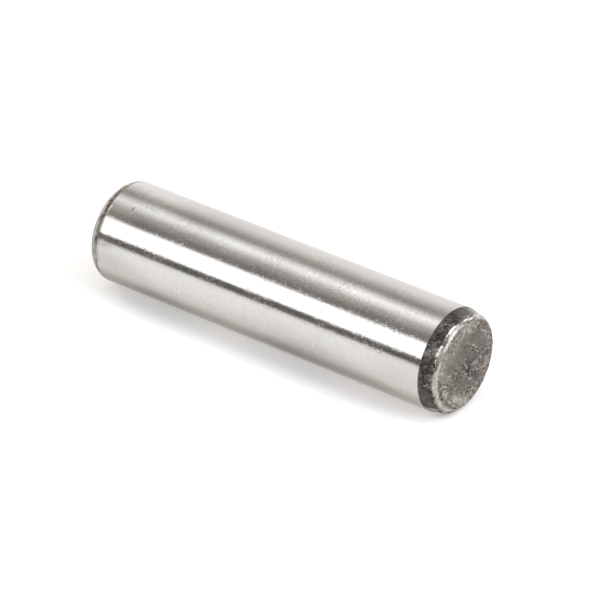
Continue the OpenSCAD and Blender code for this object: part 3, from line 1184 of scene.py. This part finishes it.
def light_studio():
    """Soft cards all round the pin as a world, bright where the shank mirrors a highlight."""
    world = bpy.data.worlds.new("studio")
    bpy.context.scene.world = world
    world.use_nodes = True
    tree = world.node_tree
    tree.nodes.clear()
    place = add_node(tree, "TexCoord")
    way = add_node(
        tree, "Mapping",
        {"Vector": place.outputs["Generated"], "Rotation": (0, 0, -math.radians(CAMERA_AZIMUTH))},
    ).outputs["Vector"]
    parts = parts_of(tree, way)
    angle = calculate(tree, "ARCTAN2", parts["Y"], parts["X"])
    lean = add_node(
        tree, "MapRange",
        {
            "Value": parts["Z"], "From Min": LEAN_LOW, "From Max": LEAN_HIGH,
            "To Min": -CARD_LEAN, "To Max": CARD_LEAN,
        },
    ).outputs["Result"]
    leaning = plus(tree, angle, lean, fade(tree, angle, 0, LEAN_START))
    share = add_node(
        tree, "MapRange", {"Value": leaning, "From Min": -math.pi, "From Max": math.pi}
    )
    ramp = add_node(tree, "ValToRGB", {"Fac": share.outputs["Result"]})
    stops = ramp.color_ramp.elements
    stops.remove(stops[-1])
    for number, (azimuth, brightness) in enumerate(STUDIO_CARDS):
        position = (azimuth + 180) / 360
        stop = stops.new(position) if number else stops[0]
        stop.position = position
        stop.color = card_colour(brightness)
    overhead = blend(
        tree, inside(tree, way, *DARK_PLACE), card_colour(OVERHEAD_LEVEL), card_colour(DARK_LEVEL)
    )
    overhead = blend(tree, inside(tree, way, *LAMP_PLACE), overhead, card_colour(LAMP_LEVEL))
    above = fade(tree, parts["Z"], OVERHEAD_START, OVERHEAD_WHOLE)
    studio = blend(tree, above, ramp.outputs["Color"], overhead)
    cards = add_node(tree, "Background", {"Color": studio})
    backdrop = add_node(tree, "Background", {"Color": grey(BACKDROP_LEVEL)})
    rays = add_node(tree, "LightPath")
    seen = add_node(
        tree, "MixShader",
        {0: rays.outputs["Is Camera Ray"], 1: cards.outputs[0], 2: backdrop.outputs[0]},
    )
    add_node(tree, "OutputWorld", {"Surface": seen.outputs[0]})


def light_table():
    """Two lamps for the table alone, straight above it and a little towards each end of the pin."""
    for elevation in TABLE_LAMP_ELEVATIONS:
        lamp = bpy.data.lights.new("table_lamp", "SUN")
        lamp.energy = TABLE_LAMP_ENERGY
        lamp.angle = TABLE_LAMP_SPREAD
        holder = add_object("table_lamp", lamp)
        holder.rotation_mode = "QUATERNION"
        holder.rotation_quaternion = direction(TABLE_LAMP_AZIMUTH, elevation).to_track_quat("Z", "Y")
        holder.visible_glossy = False


def white_table():
    """Paper that glows a little, and that is clear from behind."""
    material = bpy.data.materials.new("white_table")
    material.use_nodes = True
    tree = material.node_tree
    tree.nodes.clear()
    paper = add_node(tree, "BsdfDiffuse", {"Color": grey(TABLE_PAPER)})
    glow = add_node(tree, "Emission", {"Color": grey(TABLE_GLOW)})
    lit = add_node(tree, "AddShader", {0: paper.outputs[0], 1: glow.outputs[0]})
    clear = add_node(tree, "BsdfTransparent")
    side = add_node(tree, "NewGeometry")
    both = add_node(
        tree, "MixShader", {0: side.outputs["Backfacing"], 1: lit.outputs[0], 2: clear.outputs[0]}
    )
    add_node(tree, "OutputMaterial", {"Surface": both.outputs[0]})
    return material


def lay_table():
    """The pale table top that the shank touches along its back, upright in the pin's own frame."""
    bm = bmesh.new()
    bmesh.ops.create_grid(bm, x_segments=1, y_segments=1, size=TABLE_HALF)
    normal = direction(TABLE_AZIMUTH)
    facing = normal.to_track_quat("Z", "Y").to_matrix().to_4x4()
    bmesh.ops.transform(bm, matrix=facing, verts=bm.verts[:])
    bmesh.ops.translate(bm, vec=-normal * SHANK_R, verts=bm.verts[:])
    table = add_mesh("table_top", bm)
    table.data.materials.append(white_table())
    table.visible_glossy = False


def place_camera():
    """A long lens that looks down at the lead end, rolled so that the pin lies across the view."""
    camera = bpy.data.cameras.new("camera")
    camera.lens = CAMERA_LENS
    camera.sensor_width = CAMERA_SENSOR
    camera.clip_start = CAMERA_NEAREST
    camera.clip_end = CAMERA_FURTHEST
    holder = add_object("camera", camera)
    back = direction(CAMERA_AZIMUTH, CAMERA_ELEVATION)
    target = Vector(CAMERA_TARGET) * MM
    holder.location = target + back * CAMERA_DISTANCE * MM
    holder.rotation_mode = "QUATERNION"
    roll = Quaternion((0, 0, 1), math.radians(CAMERA_ROLL))
    holder.rotation_quaternion = (-back).to_track_quat("-Z", "Y") @ roll
    bpy.context.scene.camera = holder


def main():
    """Sets the scene, then makes the pin and says what it stands for."""
    bpy.context.scene.view_settings.view_transform = "Standard"
    place_camera()
    light_studio()
    light_table()
    lay_table()
    pin = make_pin()
    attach(pin, "root")
    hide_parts(PIN_NODE)


main()
